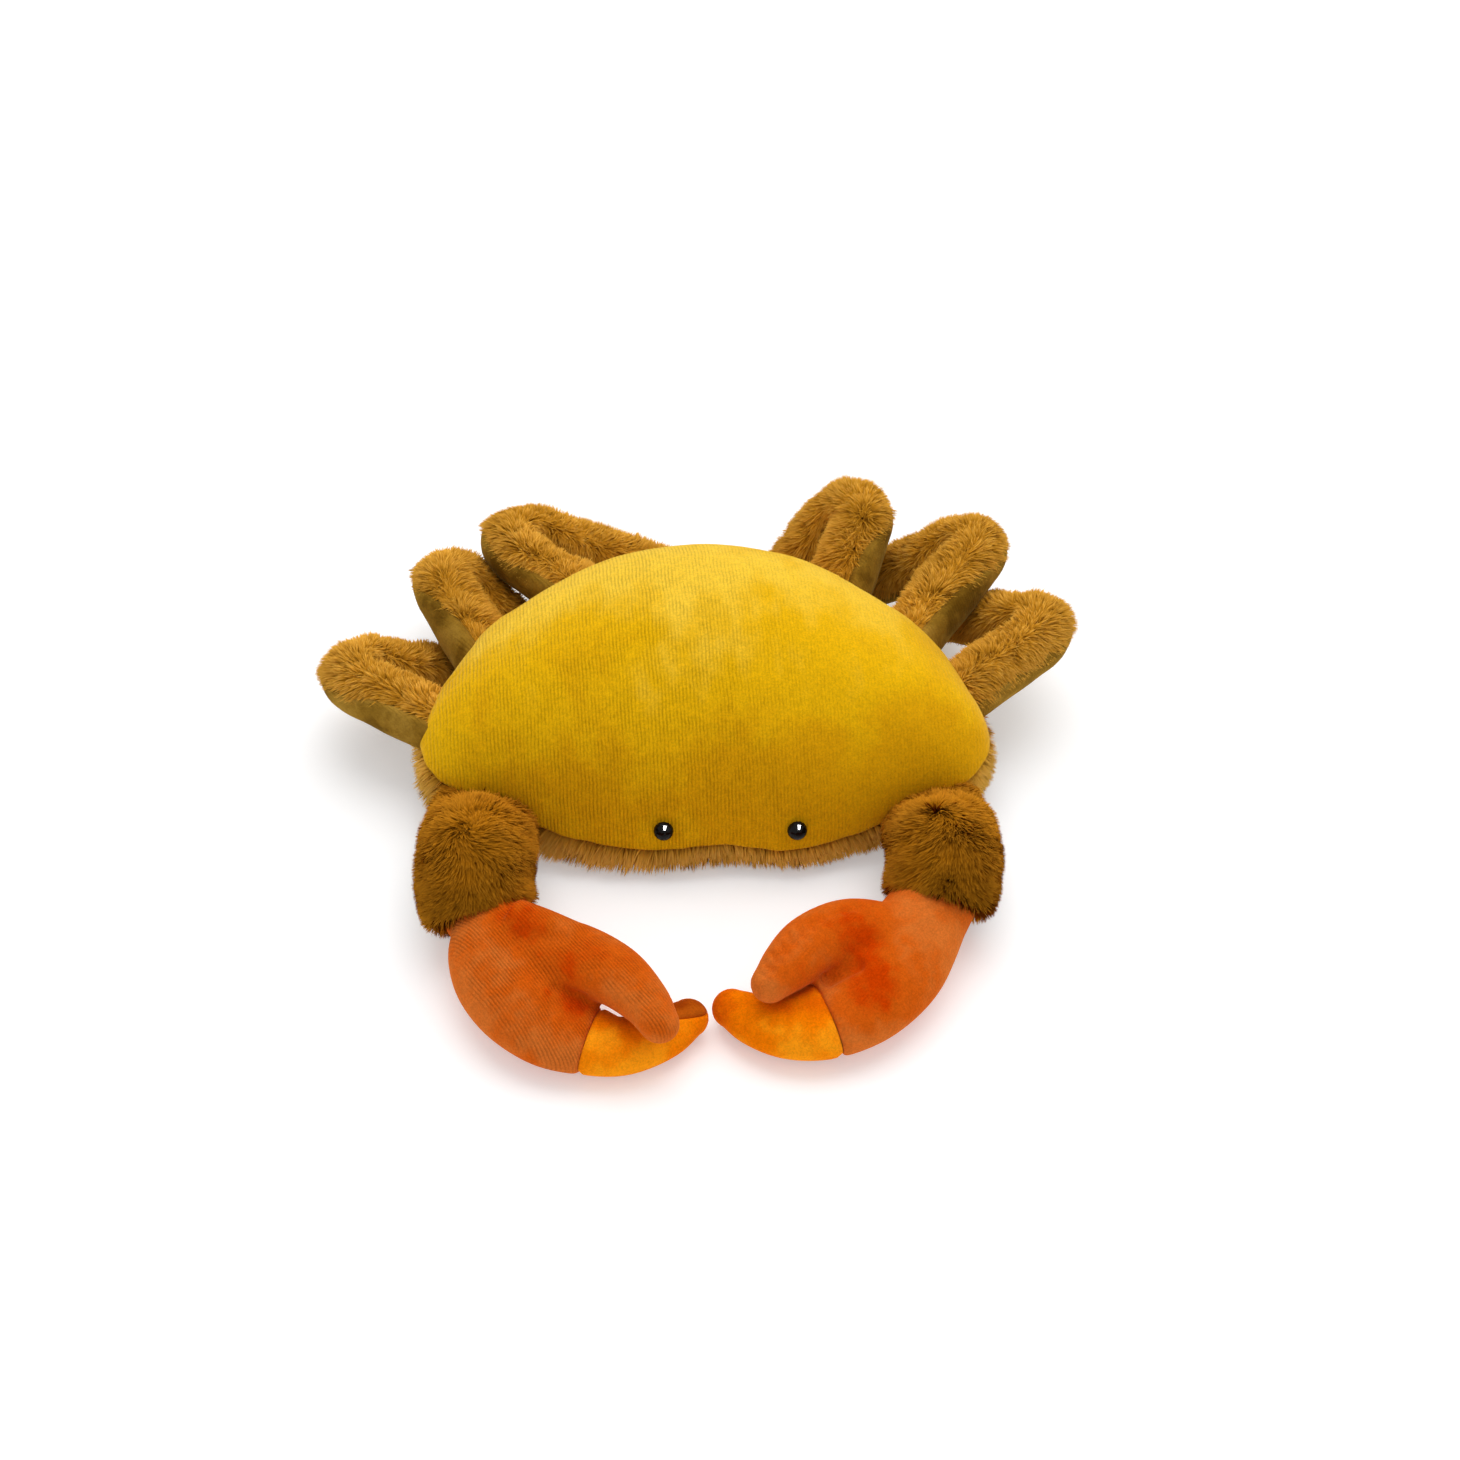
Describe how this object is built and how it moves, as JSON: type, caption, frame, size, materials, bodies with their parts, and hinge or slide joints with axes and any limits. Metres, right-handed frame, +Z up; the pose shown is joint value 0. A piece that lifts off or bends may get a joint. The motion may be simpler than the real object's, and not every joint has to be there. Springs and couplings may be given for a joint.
{
  "type": "plush crab",
  "caption": "Stuffed toy crab lying flat: domed velour shell, faux-fur belly and sleeves, folded fur legs, velour pincers that nearly touch in front.",
  "frame": {"origin": "on the floor under the middle of the body, at the flat of the belly that the crab rests on", "axes": "+Z up, -Y towards the pincers, +X towards the crab's right side as seen from the front"},
  "size_m": [0.2981, 0.2853, 0.0756],
  "materials": {
    "mustard_velour": "short-pile velour with fine knit lines",
    "brown_fur": "long-pile faux fur",
    "olive_velour": "short-pile velour",
    "orange_velour": "short-pile velour",
    "yellow_velour": "short-pile velour",
    "rust_velour": "short-pile velour",
    "black_plastic": "polished",
    "white_plastic": "moulded",
    "filling": "loose polyester fibre"
  },
  "bodies": {
    "root": {"shell_panel": "mustard_velour", "belly_panel": "brown_fur", "body_stuffing": "filling", "eye_left": "black_plastic", "eye_right": "black_plastic", "eye_washer_left": "white_plastic", "eye_washer_right": "white_plastic", "leg_left_front_fur": "brown_fur", "leg_left_front_velour": "olive_velour", "leg_left_front_stuffing": "filling", "leg_left_middle_fur": "brown_fur", "leg_left_middle_velour": "olive_velour", "leg_left_middle_stuffing": "filling", "leg_left_back_fur": "brown_fur", "leg_left_back_velour": "olive_velour", "leg_left_back_stuffing": "filling", "arm_left_sleeve": "brown_fur", "arm_left_stuffing": "filling", "claw_left_cover": "orange_velour", "claw_left_finger_top": "yellow_velour", "claw_left_finger_under": "rust_velour", "claw_left_stuffing": "filling", "leg_right_front_fur": "brown_fur", "leg_right_front_velour": "olive_velour", "leg_right_front_stuffing": "filling", "leg_right_middle_fur": "brown_fur", "leg_right_middle_velour": "olive_velour", "leg_right_middle_stuffing": "filling", "leg_right_back_fur": "brown_fur", "leg_right_back_velour": "olive_velour", "leg_right_back_stuffing": "filling", "arm_right_sleeve": "brown_fur", "arm_right_stuffing": "filling", "claw_right_cover": "orange_velour", "claw_right_finger_top": "yellow_velour", "claw_right_finger_under": "rust_velour", "claw_right_stuffing": "filling"}
  },
  "joints": []
}
